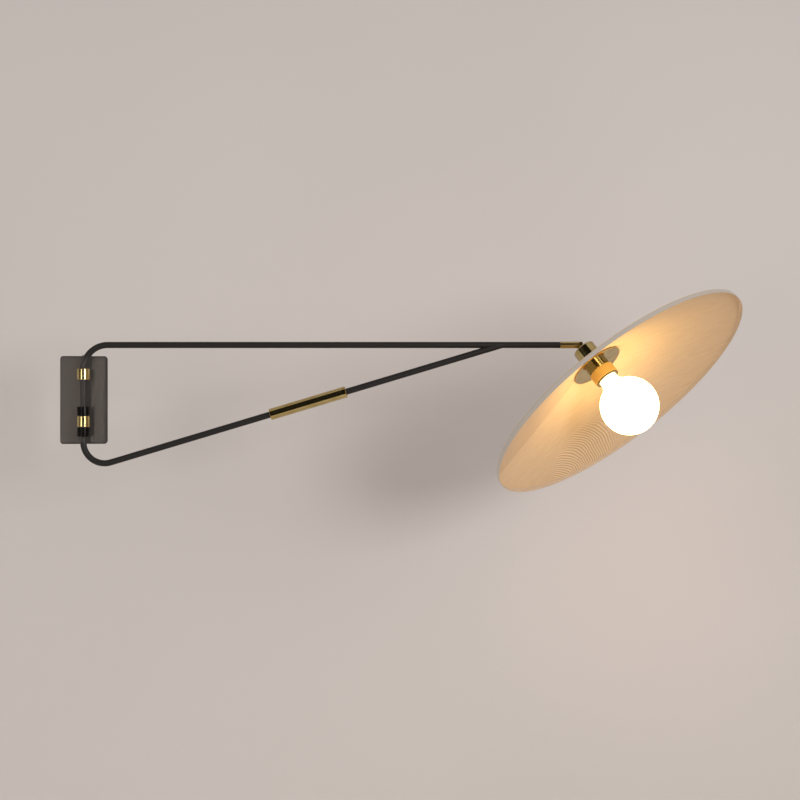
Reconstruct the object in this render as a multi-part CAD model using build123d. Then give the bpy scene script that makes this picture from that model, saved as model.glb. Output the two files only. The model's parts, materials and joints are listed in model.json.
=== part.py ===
"""Pivoting wall lamp: a long triangular tube arm swings on a wall plate and carries a wide cone shade.

Millimetres. The wall is the plane y = 0 and the lamp stands out from it towards -Y, with +X to the
right and +Z up. The origin is the middle of the cover's back. The arm is drawn in a frame of its own
whose X runs along the arm and whose origin is on the pivot axis. The lamp head is drawn in a frame
whose origin is the tilt screw and whose Z runs the way the light goes.
"""
import os
from math import asin, atan2, cos, degrees, hypot, radians, sqrt, tan

from build123d import *

# Attitude at rest, as photographed
arm_swing_out = 10
head_roll = 27
head_tilt = 33

# Wall cover and its bracket
cover_width = 75
cover_height = 142
cover_depth = 22
cover_wall = 2.5
cover_corner_radius = 5
cover_edge_radius = 1
bracket_width = 32
bracket_thickness = 3
tab_depth = 15
tab_clearance = 0.25
box_screw_pitch = 83.3
box_slot_width = 5
box_slot_length = 11
supply_hole_diameter = 16
supply_hole_drop = 12
cover_screw_diameter = 4
cover_screw_head_diameter = 7
cover_screw_head_height = 2
cover_screw_length = 8
cover_screw_setback = 10
screw_socket_share = 0.45

# Terminal block and earth screw on the bracket
terminal_width = 26
terminal_depth = 11
terminal_height = 15
terminal_rise = 12
terminal_pole_count = 3
terminal_bore_diameter = 4
terminal_screw_diameter = 3.2
terminal_screw_length = 5
earth_screw_diameter = 4
earth_washer_diameter = 10
earth_washer_thickness = 1
earth_drop = 26

# Bearing eyes that hold the pivot tube
pivot_gap = 24
eye_diameter = 21
eye_length = 17.5
eye_edge_radius = 0.8
upper_eye_share = 0.29
lower_eye_share = 0.242
post_diameter = 14
post_flange_diameter = 20
post_flange_thickness = 2
shank_diameter = 10
shank_tail = 1.5
lead_bore_diameter = 5
bush_wall = 2
bush_length = 5.5
running_clearance = 0.05
post_nut_width = 15
post_nut_thickness = 5
post_washer_diameter = 20
post_washer_thickness = 1.5
fitting_clearance = 0.2

# Stop collars clamped on the pivot tube
collar_diameter = 21
collar_length = 14.5
collar_edge_radius = 0.5
thrust_washer_diameter = 17
thrust_washer_thickness = 0.6
float_gap = 0.3
collar_screw_diameter = 4
collar_screw_recess = 0.5

# Arm tubes
tube_diameter = 10
tube_wall = 1.5
bar_above_eye = 46.82
bend_below_eye = 32.9
upper_bend_radius = 39
lower_bend_radius = 34
reach = 795.5
brace_setback = 125.5
tube_joint_gap = 0.5
spigot_length = 50
lead_hole_diameter = 6

# Brass grip on the brace
grip_diameter = 18.5
grip_length = 127
grip_wall = 1.5
grip_reach = 359.6
grip_end_length = 9
grip_end_recess = 1.2
grip_end_chamfer = 0.8
grip_screw_diameter = 3

# Swivel at the end of the bar
fitting_diameter = 11
fitting_length = 37
fitting_overhang = 4.5
fitting_tip_radius = 4
fitting_rear_radius = 0.6
journal_diameter = 7
journal_length = 19
journal_lead_bore = 3.6
insert_depth = 14
swivel_washer_thickness = 0.6
journal_groove_width = 3
journal_groove_depth = 0.8
journal_groove_setback = 5
swivel_screw_diameter = 2.6

# Tilt knuckle
tongue_thickness = 3.2
tongue_radius = 4.4
knuckle_washer_thickness = 0.5
knuckle_washer_diameter = 8
slot_clearance = 0.8
knuckle_screw_diameter = 3
knuckle_head_diameter = 5.4
knuckle_head_depth = 1.4
tongue_flange_diameter = 12
tongue_flange_thickness = 1
tongue_shank_diameter = 9.5
tongue_shank_length = 13
tongue_nut_width = 14
tongue_nut_thickness = 2.6

# Cup over the lampholder
cup_start = 7.5
cup_diameter = 37
cup_wall = 1.2
cup_top_radius = 2.4

# Lampholder
holder_start = 13
holder_diameter = 34
holder_end = 67.5
wire_chamber_diameter = 20
wire_chamber_end = 30
contact_floor = 38
holder_contact_width = 6
holder_contact_thickness = 0.8
holder_contact_length = 16
shell_wall = 0.6
shell_length = 24
skirt_diameter = 41
skirt_start = 54.8
skirt_end = 71.6
skirt_mouth_diameter = 37.4
skirt_edge_radius = 0.8
lip_thickness = 1.6
lip_diameter = 40
lip_mouth_diameter = 31
holder_terminal_diameter = 3.5
holder_terminal_length = 6
holder_terminal_pitch = 13

# Shade
shade_diameter = 470
sheet_thickness = 1
hoop_height = 6.4
hoop_thickness = 1.2
cone_slope = 17.7
lap_width = 14
lap_azimuth = 9
disc_distance = 43.96
disc_diameter = 86
disc_thickness = 1.5
centre_clearance = 0.3

# Globe bulb with a 26 mm screw cap
bulb_radius = 46
bulb_length = 135.5
bulb_centre = 129.7
glass_thickness = 1
neck_diameter = 29.4
neck_blend_radius = 16
cap_diameter = 26
cap_length = 24
cap_thread_pitch = 3.6
cap_thread_depth = 0.8
cap_wall = 0.6
cap_insulator_length = 2
cap_insulator_diameter = 20
cap_contact_diameter = 9
cap_contact_thickness = 0.8
shell_clearance = 0.3

# One overrun serves every cut that passes right through something
overrun = 5

# Places that follow from the sizes above
pivot_standoff = cover_depth + pivot_gap
cover_inside = cover_depth - cover_wall
tube_radius = tube_diameter / 2
tube_bore_radius = tube_radius - tube_wall
bush_radius = tube_radius + running_clearance + bush_wall
upper_eye_rise = cover_height * upper_eye_share
lower_eye_drop = cover_height * lower_eye_share
bar_rise = upper_eye_rise + bar_above_eye
pivot_drop = lower_eye_drop + bend_below_eye
fitting_start = reach + fitting_overhang - fitting_length
bar_end = fitting_start - swivel_washer_thickness
# The brace touches the lower bend and meets the middle of the bar a set distance short of the tip
brace_meeting = reach - brace_setback
brace_run = brace_meeting - lower_bend_radius
brace_climb = bar_rise + pivot_drop
bend_spread = asin(lower_bend_radius / hypot(brace_run, brace_climb))
brace_angle = degrees(atan2(brace_climb, brace_run) + bend_spread)
brace_slope = tan(radians(brace_angle))
brace_stretch = 1 / cos(radians(brace_angle))
brace_foot = -pivot_drop - lower_bend_radius * (brace_stretch + brace_slope)
slot_width = tongue_thickness + 2 * (knuckle_washer_thickness + running_clearance)
slot_back = tongue_radius + slot_clearance
shade_inner_radius = shade_diameter / 2 - hoop_thickness
cone_rise = tan(radians(cone_slope))
sheet_depth = sheet_thickness / cos(radians(cone_slope))
hoop_start = disc_distance - sheet_depth + (shade_inner_radius - disc_diameter / 2) * cone_rise
rim_distance = hoop_start + hoop_height
hole_radius = holder_diameter / 2 + centre_clearance
shell_radius = cap_diameter / 2 + shell_clearance
bulb_end = bulb_centre + bulb_radius
cap_tip = bulb_end - bulb_length
cap_start = cap_tip + cap_contact_thickness + cap_insulator_length
cap_end = cap_start + cap_length

arm_place = Pos(0, -pivot_standoff, 0) * Rot(0, 0, -arm_swing_out)
swivel_place = arm_place * Pos(reach, 0, bar_rise) * Rot(-head_roll, 0, 0)
head_place = swivel_place * Rot(0, 180 - head_tilt, 0)


def rod(diameter, length, start=0):
    """A round bar along Z that begins at the height start."""
    return Pos(0, 0, start) * Cylinder(diameter / 2, length, align=(Align.CENTER, Align.CENTER, Align.MIN))


def pipe(outer, inner, length, start=0):
    """A round bar with a bore right through it."""
    return rod(outer, length, start) - rod(inner, length + 2 * overrun, start - overrun)


def hexagon(width, length, start=0):
    """A six-sided bar along Z, its width taken across the flats."""
    outline = RegularPolygon(width / 2, 6, major_radius=False)
    return Pos(0, 0, start) * extrude(outline, length)


def turned(*outline):
    """A solid of revolution about Z from points given as radius and height."""
    return revolve(make_face(Plane.XZ * Polyline(*outline, close=True)), Axis.Z)


def to_front(shape):
    """Turns a piece drawn along +Z so that it points away from the wall."""
    return Rot(90, 0, 0) * shape


def along_arm(shape):
    """Turns a piece drawn along +Z so that it points along the arm."""
    return Rot(0, 90, 0) * shape


def round_ends(shape, radius):
    """Rounds the outer edge of both ends of a piece drawn along Z."""
    ends = shape.edges().filter_by(GeomType.CIRCLE).group_by(SortBy.RADIUS)[-1]
    return fillet(ends, radius)


def socket_screw(diameter, length):
    """A headless screw along +Z with a hexagon socket in its first end."""
    return rod(diameter, length) - hexagon(diameter * screw_socket_share, length / 2)


def cover_screw_places():
    """The two places where a screw goes through the cover's top or bottom, pointing inwards."""
    top = Pos(0, -cover_screw_setback, cover_height / 2) * Rot(180, 0, 0)
    bottom = Pos(0, -cover_screw_setback, -cover_height / 2)
    return [top, bottom]


def eye_heights():
    """Height of the middle of each bearing eye, by name."""
    return {"upper": upper_eye_rise, "lower": -lower_eye_drop}


def make_wall_cover():
    """The shallow box that hides the bracket and carries the two bearing eyes."""
    outside = RectangleRounded(cover_width, cover_height, cover_corner_radius)
    inside = RectangleRounded(
        cover_width - 2 * cover_wall, cover_height - 2 * cover_wall, cover_corner_radius - cover_wall
    )
    block = to_front(extrude(outside, cover_depth))
    block = fillet(block.faces().sort_by(Axis.Y)[0].edges(), cover_edge_radius)
    cover = block - Pos(0, overrun, 0) * to_front(extrude(inside, cover_inside + overrun))
    for height in eye_heights().values():
        hole = rod(shank_diameter + fitting_clearance, cover_wall + 2 * overrun, cover_inside - overrun)
        cover -= Pos(0, 0, height) * to_front(hole)
    for place in cover_screw_places():
        cover -= place * rod(cover_screw_diameter + fitting_clearance, cover_wall + overrun)
    return cover


def make_wall_bracket():
    """The steel strap that is screwed to the wall box, with a tab at each end for the cover's screws."""
    half_height = cover_height / 2 - cover_wall - tab_clearance
    strap = to_front(extrude(Rectangle(bracket_width, 2 * half_height), bracket_thickness))
    tab = Box(bracket_width, tab_depth, bracket_thickness, align=(Align.CENTER, Align.MAX, Align.MAX))
    bracket = strap + Pos(0, 0, half_height) * tab + Pos(0, 0, bracket_thickness - half_height) * tab
    slot = extrude(SlotOverall(box_slot_length, box_slot_width, rotation=90), bracket_thickness + 2 * overrun)
    for side in (-1, 1):
        bracket -= Pos(0, overrun, side * box_screw_pitch / 2) * to_front(slot)
    supply = rod(supply_hole_diameter, bracket_thickness + 2 * overrun, -overrun)
    bracket -= Pos(0, 0, -supply_hole_drop) * to_front(supply)
    earth = rod(earth_screw_diameter, bracket_thickness + 2 * overrun, -overrun)
    bracket -= Pos(0, 0, -earth_drop) * to_front(earth)
    for place in cover_screw_places():
        bracket -= place * rod(cover_screw_diameter, cover_screw_length + overrun)
    return bracket


def make_cover_screws():
    """Two pan-head screws that hold the cover on the bracket's tabs."""
    head = rod(cover_screw_head_diameter, cover_screw_head_height, -cover_screw_head_height)
    head = fillet(head.edges().sort_by(Axis.Z)[0], cover_screw_head_height / 2)
    socket = hexagon(cover_screw_diameter / 2, cover_screw_head_height, -cover_screw_head_height)
    screw = head + rod(cover_screw_diameter, cover_screw_length) - socket
    return Compound([place * screw for place in cover_screw_places()])


def terminal_places():
    """The middle of each pole of the terminal block, across the bracket."""
    pitch = terminal_width / terminal_pole_count
    first = -pitch * (terminal_pole_count - 1) / 2
    return [first + pitch * pole for pole in range(terminal_pole_count)]


def make_terminal_block():
    """The connector where the supply leads meet the lamp's own leads."""
    seated = (Align.CENTER, Align.MAX, Align.CENTER)
    block = Box(terminal_width, terminal_depth, terminal_height, align=seated)
    block = fillet(block.edges().filter_by(Axis.Y), terminal_screw_diameter / 2)
    for across in terminal_places():
        middle = Pos(across, -terminal_depth / 2, 0)
        block -= middle * rod(terminal_bore_diameter, 2 * terminal_height, -terminal_height)
        block -= middle * to_front(rod(terminal_screw_diameter, terminal_depth))
    return Pos(0, -bracket_thickness, terminal_rise) * block


def make_terminal_screws():
    """One clamp screw for each pole of the terminal block."""
    screws = []
    slot_depth = terminal_screw_diameter / 3
    for across in terminal_places():
        screw = rod(terminal_screw_diameter, terminal_screw_length)
        slot = Box(terminal_screw_diameter + overrun, slot_depth, slot_depth)
        screw -= Pos(0, 0, terminal_screw_length - slot_depth / 2) * slot
        start = bracket_thickness + terminal_depth - terminal_screw_length
        screws.append(Pos(across, -start, terminal_rise) * to_front(screw))
    return Compound(screws)


def make_earth_screw():
    """The earth screw with its clamp washer, on the bracket."""
    head = rod(earth_screw_diameter * 2, earth_screw_diameter / 2, bracket_thickness + earth_washer_thickness)
    washer = rod(earth_washer_diameter, earth_washer_thickness, bracket_thickness)
    shank = rod(earth_screw_diameter, bracket_thickness)
    return Pos(0, 0, -earth_drop) * to_front(head + washer + shank)


def make_bearing(height):
    """One brass eye: a short upright barrel on a post that is bolted through the cover."""
    barrel = round_ends(rod(eye_diameter, eye_length, -eye_length / 2), eye_edge_radius)
    post = rod(post_diameter, pivot_gap)
    flange = rod(post_flange_diameter, post_flange_thickness, pivot_gap - post_flange_thickness)
    shank_length = cover_wall + post_washer_thickness + post_nut_thickness + shank_tail
    shank = rod(shank_diameter, shank_length, pivot_gap)
    stem = Rot(-90, 0, 0) * (post + flange + shank)
    eye = barrel + stem
    eye -= rod(2 * (tube_radius + bush_wall), eye_length + 2 * overrun, -eye_length / 2 - overrun)
    for side in (-1, 1):
        seat = rod(2 * bush_radius, bush_length, -bush_length / 2)
        eye -= Pos(0, 0, side * (eye_length - bush_length) / 2) * seat
    lead_bore = rod(lead_bore_diameter, pivot_gap + shank_length + overrun)
    eye -= Rot(-90, 0, 0) * lead_bore
    return Pos(0, -pivot_standoff, height) * eye


def make_bush(height, side):
    """One plastic bush in the end of an eye, with the tube running in it."""
    bush = pipe(2 * bush_radius, 2 * (tube_radius + running_clearance), bush_length, -bush_length / 2)
    return Pos(0, -pivot_standoff, height + side * (eye_length - bush_length) / 2) * bush


def make_post_washers():
    """A washer behind the cover for each bearing post."""
    start = cover_inside - post_washer_thickness
    washer = pipe(post_washer_diameter, shank_diameter, post_washer_thickness, start)
    return Compound([Pos(0, 0, height) * to_front(washer) for height in eye_heights().values()])


def make_post_nuts():
    """A nut behind the cover for each bearing post."""
    start = cover_inside - post_washer_thickness - post_nut_thickness
    nut = hexagon(post_nut_width, post_nut_thickness, start) - rod(shank_diameter, cover_depth)
    return Compound([Pos(0, 0, height) * to_front(nut) for height in eye_heights().values()])


def collar_starts():
    """Height of the underside of each stop collar and the side of it that faces the eye."""
    eye_top = -lower_eye_drop + eye_length / 2
    eye_bottom = -lower_eye_drop - eye_length / 2
    above = eye_top + thrust_washer_thickness
    below = eye_bottom - thrust_washer_thickness - float_gap - collar_length
    return {"upper": above, "lower": below}


def make_collar(start):
    """A black collar clamped on the pivot tube by a headless screw."""
    collar = round_ends(pipe(collar_diameter, tube_diameter, collar_length, start), collar_edge_radius)
    hole = rod(collar_screw_diameter, collar_diameter)
    return arm_place * (collar - Pos(0, 0, start + collar_length / 2) * to_front(hole))


def make_collar_screws():
    """The two headless screws of the stop collars."""
    length = collar_diameter / 2 - tube_radius - collar_screw_recess
    screws = []
    for start in collar_starts().values():
        screw = Pos(0, -tube_radius - length, start + collar_length / 2) * Rot(-90, 0, 0)
        screws.append(arm_place * screw * socket_screw(collar_screw_diameter, length))
    return Compound(screws)


def make_thrust_washer(name):
    """A plastic washer between the lower eye and a stop collar."""
    start = collar_starts()[name]
    inner = tube_diameter + 2 * running_clearance
    if name == "upper":
        start -= thrust_washer_thickness
    else:
        start += collar_length
    return arm_place * pipe(thrust_washer_diameter, inner, thrust_washer_thickness, start)


def brace_point(along):
    """A point on the middle line of the brace, by its distance along the arm."""
    return (along, 0, brace_foot + along * brace_slope)


def brace_place(along):
    """A frame on the middle line of the brace whose Z runs up it towards the bar."""
    return Pos(*brace_point(along)) * Rot(0, 90 - brace_angle, 0)


def make_frame_tube():
    """The bent tube: the top bar, the upright that turns in the eyes and the rear half of the brace."""
    rear_end = brace_point(grip_reach - tube_joint_gap / 2)
    corners = [(bar_end, 0, bar_rise), (0, 0, bar_rise), (0, 0, brace_foot), rear_end]
    path = FilletPolyline(*corners, radius=[upper_bend_radius, lower_bend_radius])
    start = Plane(origin=corners[0], z_dir=(-1, 0, 0))
    tube = sweep(start * (Circle(tube_radius) - Circle(tube_bore_radius)), path=path)
    lead_hole = rod(lead_hole_diameter, 2 * tube_diameter)
    tube -= Pos(0, 0, upper_eye_rise) * Rot(-90, 0, 0) * lead_hole
    return arm_place * tube


def make_brace_tube():
    """The front half of the brace, cut to the round of the top bar where it is welded on."""
    start = grip_reach + tube_joint_gap / 2
    length = (brace_meeting - start) * brace_stretch
    tube = brace_place(start) * pipe(tube_diameter, 2 * tube_bore_radius, length)
    bar = Pos(0, 0, bar_rise) * along_arm(rod(tube_diameter, bar_end))
    tube -= bar
    over_bar = (Align.MIN, Align.CENTER, Align.MIN)
    tube -= Pos(0, 0, bar_rise) * Box(bar_end, 2 * tube_diameter, 2 * tube_diameter, align=over_bar)
    return arm_place * tube.solids().sort_by(SortBy.VOLUME)[-1]


def make_brace_spigot():
    """The plug inside the brace that joins its two tubes under the grip."""
    plug = rod(2 * tube_bore_radius, spigot_length, -spigot_length / 2)
    return arm_place * brace_place(grip_reach) * plug


def make_grip_sleeve():
    """The polished brass sleeve that is held to move the arm."""
    sleeve = pipe(grip_diameter, grip_diameter - 2 * grip_wall, grip_length, -grip_length / 2)
    ends = sleeve.edges().filter_by(GeomType.CIRCLE).group_by(SortBy.RADIUS)[-1]
    sleeve = chamfer(ends, grip_end_chamfer)
    hole = Rot(0, 90, 0) * rod(grip_screw_diameter, grip_diameter)
    sleeve -= Pos(0, 0, grip_end_length - grip_length / 2 + grip_end_recess - grip_end_length / 2) * hole
    return arm_place * brace_place(grip_reach) * sleeve


def make_grip_end(side):
    """The ring that fills one end of the grip and centres it on the brace."""
    ring = pipe(grip_diameter - 2 * grip_wall, tube_diameter, grip_end_length, -grip_end_length / 2)
    shift = side * (grip_length / 2 - grip_end_recess - grip_end_length / 2)
    ring = Pos(0, 0, shift) * ring
    if side < 0:
        ring -= Pos(0, 0, shift) * Rot(0, 90, 0) * rod(grip_screw_diameter, grip_diameter)
    return arm_place * brace_place(grip_reach) * ring


def make_grip_screw():
    """The headless screw under the grip's lower end."""
    length = grip_diameter / 2 - tube_radius
    shift = grip_end_recess + grip_end_length / 2 - grip_length / 2
    place = Pos(grip_diameter / 2, 0, shift) * Rot(0, -90, 0)
    return arm_place * brace_place(grip_reach) * place * socket_screw(grip_screw_diameter, length)


def make_tip_insert():
    """The turned stub fixed in the end of the bar, with the journal that the swivel turns on."""
    stub = rod(2 * tube_bore_radius, insert_depth, -insert_depth)
    journal = rod(journal_diameter, journal_length + swivel_washer_thickness)
    groove = pipe(
        journal_diameter + overrun,
        journal_diameter - 2 * journal_groove_depth,
        journal_groove_width,
        journal_length - journal_groove_setback,
    )
    insert = stub + journal - groove
    insert -= rod(journal_lead_bore, insert_depth + journal_length + 2 * overrun, -insert_depth - overrun)
    return arm_place * Pos(bar_end, 0, bar_rise) * along_arm(insert)


def make_swivel_washer():
    """The plastic washer between the bar's end and the swivel."""
    inner = journal_diameter + 2 * running_clearance
    washer = pipe(tube_diameter, inner, swivel_washer_thickness)
    return arm_place * Pos(bar_end, 0, bar_rise) * along_arm(washer)


def screw_groove_place():
    """Distance from the fitting's start to the middle of the journal's groove."""
    return journal_length - journal_groove_setback + journal_groove_width / 2 - swivel_washer_thickness


def make_swivel_fitting():
    """The brass end piece that turns on the bar, with a fork for the knuckle."""
    body = rod(fitting_diameter, fitting_length, -fitting_length)
    body = fillet(body.edges().sort_by(Axis.Z)[-1], fitting_tip_radius)
    body = fillet(body.edges().sort_by(Axis.Z)[0], fitting_rear_radius)
    bore_depth = journal_length + float_gap
    body -= rod(journal_diameter + 2 * running_clearance, bore_depth + overrun, -fitting_length - overrun)
    lead_way = rod(journal_lead_bore, fitting_length, -fitting_length)
    fitting = Pos(fitting_overhang, 0, 0) * along_arm(body - lead_way)
    slot_length = fitting_overhang + slot_back + overrun
    open_ended = (Align.MIN, Align.CENTER, Align.CENTER)
    slot = Box(slot_length, slot_width, fitting_diameter + overrun, align=open_ended)
    fitting -= Pos(-slot_back, 0, 0) * slot
    cheek = fitting_diameter + 2 * overrun
    fitting -= Rot(90, 0, 0) * rod(knuckle_screw_diameter, cheek, -cheek / 2)
    head = rod(knuckle_head_diameter, fitting_diameter, fitting_diameter / 2 - knuckle_head_depth)
    fitting -= Rot(90, 0, 0) * head
    screw_hole = rod(swivel_screw_diameter, fitting_diameter)
    back = fitting_overhang - fitting_length + screw_groove_place()
    fitting -= Pos(back, 0, 0) * Rot(-90, 0, 0) * screw_hole
    return swivel_place * fitting


def make_swivel_screw():
    """The headless screw that keeps the fitting on its journal and stops it before a full turn."""
    depth = fitting_diameter / 2 - journal_diameter / 2 + journal_groove_depth / 2
    back = fitting_overhang - fitting_length + screw_groove_place()
    place = Pos(back, fitting_diameter / 2, 0) * Rot(90, 0, 0)
    return swivel_place * place * socket_screw(swivel_screw_diameter, depth)


def make_knuckle_screw():
    """The cross screw that the head tilts on."""
    shank = rod(knuckle_screw_diameter, fitting_diameter - knuckle_head_depth, -fitting_diameter / 2)
    head = rod(knuckle_head_diameter, knuckle_head_depth, fitting_diameter / 2 - knuckle_head_depth)
    socket_start = (fitting_diameter - knuckle_head_depth) / 2
    socket = hexagon(knuckle_screw_diameter / 2, knuckle_head_depth, socket_start)
    return swivel_place * Rot(90, 0, 0) * (shank + head - socket)


def make_knuckle_washers():
    """A friction washer on each side of the tongue."""
    washers = []
    for side in (-1, 1):
        washer = pipe(knuckle_washer_diameter, knuckle_screw_diameter, knuckle_washer_thickness)
        start = slot_width / 2 - knuckle_washer_thickness
        washers.append(swivel_place * Rot(side * 90, 0, 0) * Pos(0, 0, start) * washer)
    return Compound(washers)


def make_knuckle_tongue():
    """The brass tongue that tilts in the fork, with the hollow shank that the cup hangs on."""
    eye = Rot(90, 0, 0) * Cylinder(tongue_radius, tongue_thickness)
    flange_start = cup_start - tongue_flange_thickness
    hanging = (Align.CENTER, Align.CENTER, Align.MIN)
    blade = Box(2 * tongue_radius, tongue_thickness, flange_start, align=hanging)
    flange = rod(tongue_flange_diameter, tongue_flange_thickness, flange_start)
    shank = rod(tongue_shank_diameter, tongue_shank_length, cup_start)
    tongue = eye + blade + flange + shank
    hole = 2 * (knuckle_screw_diameter / 2 + running_clearance)
    tongue -= Rot(90, 0, 0) * rod(hole, tongue_thickness + 2 * overrun, -tongue_thickness / 2 - overrun)
    lead_way = rod(lead_bore_diameter, tongue_shank_length + overrun, cup_start)
    return head_place * (tongue - lead_way)


def make_tongue_nut():
    """The thin nut inside the cup that holds the cup to the tongue."""
    start = cup_start + cup_wall
    nut = hexagon(tongue_nut_width, tongue_nut_thickness, start)
    return head_place * (nut - rod(tongue_shank_diameter, tongue_shank_length, cup_start))


def sheet_outside(radius):
    """Where the shade's upper face is at a radius."""
    return hoop_start - (shade_inner_radius - radius) * cone_rise


def sheet_inside(radius):
    """Where the shade's lower face is at a radius."""
    return sheet_outside(radius) + sheet_depth


def make_holder_cup():
    """The brass cup that covers the lampholder above the shade."""
    outer = cup_diameter / 2
    inner = outer - cup_wall
    cup = turned((0, cup_start), (outer, cup_start), (outer, sheet_outside(outer)), (0, sheet_outside(0)))
    cup = fillet(cup.edges().filter_by(GeomType.CIRCLE).sort_by(Axis.Z)[0], cup_top_radius)
    inside_start = cup_start + cup_wall
    inside = turned((0, inside_start), (inner, inside_start), (inner, rim_distance), (0, rim_distance))
    inside = fillet(inside.edges().filter_by(GeomType.CIRCLE).sort_by(Axis.Z)[0], cup_top_radius - cup_wall)
    cup = cup - inside - rod(tongue_shank_diameter, rim_distance)
    lowest = turned(
        (0, sheet_outside(0)), (outer + overrun, sheet_outside(outer + overrun)),
        (outer + overrun, rim_distance), (0, rim_distance),
    )
    return head_place * (cup - lowest)


def make_lampholder_body():
    """The porcelain body that the leads enter from above and the bulb from below."""
    chamber_start = cup_start + tongue_shank_length
    body = rod(holder_diameter, holder_end - holder_start, holder_start)
    body -= rod(tongue_shank_diameter, wire_chamber_end)
    body -= rod(wire_chamber_diameter, wire_chamber_end - chamber_start, chamber_start)
    body -= rod(2 * (shell_radius + shell_wall), holder_end, contact_floor)
    for side in (-1, 1):
        screw_hole = rod(holder_terminal_diameter, contact_floor - chamber_start, chamber_start)
        body -= Pos(side * holder_terminal_pitch / 2, 0, 0) * screw_hole
    return head_place * body


def make_holder_terminals():
    """The two screws inside the lampholder that the lamp's leads are clamped under."""
    start = contact_floor - holder_terminal_length
    screws = []
    for side in (-1, 1):
        screw = rod(holder_terminal_diameter, holder_terminal_length, start)
        screws.append(head_place * Pos(side * holder_terminal_pitch / 2, 0, 0) * screw)
    return Compound(screws)


def make_holder_contact():
    """The springy strip that presses on the tip of the bulb's cap."""
    rise = cap_tip - contact_floor
    upright = (Align.CENTER, Align.CENTER, Align.MIN)
    foot = Box(holder_contact_length, holder_contact_width, holder_contact_thickness, align=upright)
    pad = rod(holder_contact_width, rise)
    return head_place * Pos(0, 0, contact_floor) * (foot + pad)


def make_screw_shell():
    """The threaded metal shell in the lampholder that takes the bulb's cap."""
    shell = pipe(2 * (shell_radius + shell_wall), 2 * shell_radius, shell_length, cap_start)
    return head_place * shell


def make_shade_disc():
    """The flat brass disc under the middle of the shade."""
    disc = pipe(disc_diameter, 2 * hole_radius, disc_thickness, disc_distance)
    return head_place * disc


def make_clamp_ring():
    """The brass ring that is screwed up the lampholder to clamp disc, shade and cup together."""
    start = disc_distance + disc_thickness
    outer = cup_diameter
    ring = pipe(outer, holder_diameter, skirt_start - start, start)
    return head_place * ring


def make_lampholder_skirt():
    """The pale ring round the mouth of the lampholder."""
    skirt = round_ends(rod(skirt_diameter, skirt_end - skirt_start, skirt_start), skirt_edge_radius)
    skirt -= rod(holder_diameter, holder_end)
    skirt -= rod(skirt_mouth_diameter, skirt_end, holder_end)
    return head_place * skirt


def make_skirt_lip():
    """The brown seal at the mouth of the lampholder, which closes in on the bulb's neck."""
    return head_place * pipe(lip_diameter, lip_mouth_diameter, lip_thickness, skirt_end)


def make_shade_sheet():
    """The wide shallow cone, rolled from one sheet whose ends lap along a radial line."""
    inner = hole_radius
    outer = shade_inner_radius
    cone = turned(
        (inner, sheet_outside(inner)), (outer, sheet_outside(outer)),
        (outer, sheet_inside(outer)), (inner, sheet_inside(inner)),
    )
    lap_start = disc_diameter / 2 + lap_width / 2
    lap_length = (outer - lap_width / 2 - lap_start) / cos(radians(cone_slope))
    lap = Box(lap_length, lap_width, sheet_thickness, align=(Align.MIN, Align.CENTER, Align.MIN))
    lap = Pos(lap_start, 0, sheet_inside(lap_start)) * Rot(0, -cone_slope, 0) * lap
    return head_place * (cone + Rot(0, 0, lap_azimuth) * lap)


def make_rim_hoop():
    """The flat hoop that keeps the shade's edge round."""
    hoop = pipe(shade_diameter, 2 * shade_inner_radius, hoop_height, hoop_start)
    return head_place * hoop


def glass_form(shrink):
    """The bulb's outer form, or the same form drawn in by a wall's thickness."""
    ball = bulb_radius - shrink
    neck = neck_diameter / 2 - shrink
    collar = cap_diameter / 2 - shrink
    blend = neck_blend_radius + shrink
    ball_share = ball / (ball + blend)
    drop = sqrt((ball + blend) ** 2 - (neck + blend) ** 2)
    meeting = (ball_share * (neck + blend), bulb_centre - ball_share * drop)
    flare_end = cap_end + neck - collar
    stem = Polyline((0, cap_end), (collar, cap_end), (neck, flare_end), (neck, bulb_centre - drop))
    hollow = TangentArc((neck, bulb_centre - drop), meeting, tangent=(0, 1))
    round_end = TangentArc(meeting, (0, bulb_centre + ball), tangent=hollow % 1)
    middle = Line((0, bulb_centre + ball), (0, cap_end))
    return revolve(make_face(Plane.XZ * Curve([stem, hollow, round_end, middle])), Axis.Z)


def make_bulb_globe():
    """The opal glass globe."""
    return head_place * (glass_form(0) - glass_form(glass_thickness))


def make_bulb_cap():
    """The bulb's screw cap, its thread drawn as rings."""
    cap = rod(cap_diameter, cap_length, cap_start)
    for turn in range(int(cap_length / cap_thread_pitch) - 1):
        ring = Torus(cap_diameter / 2, cap_thread_depth)
        cap -= Pos(0, 0, cap_start + cap_thread_pitch * (turn + 1)) * ring
    cap -= rod(cap_diameter - 4 * cap_thread_depth, cap_length - cap_wall, cap_start + cap_wall)
    return head_place * cap


def make_bulb_insulator():
    """The dark glass button between the cap and its tip contact."""
    lower = cap_insulator_diameter / 2
    upper = cap_contact_diameter / 2
    start = cap_tip + cap_contact_thickness
    return head_place * turned((0, start), (upper, start), (lower, cap_start), (0, cap_start))


def make_bulb_contact():
    """The tip contact of the bulb."""
    return head_place * rod(cap_contact_diameter, cap_contact_thickness, cap_tip)


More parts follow.
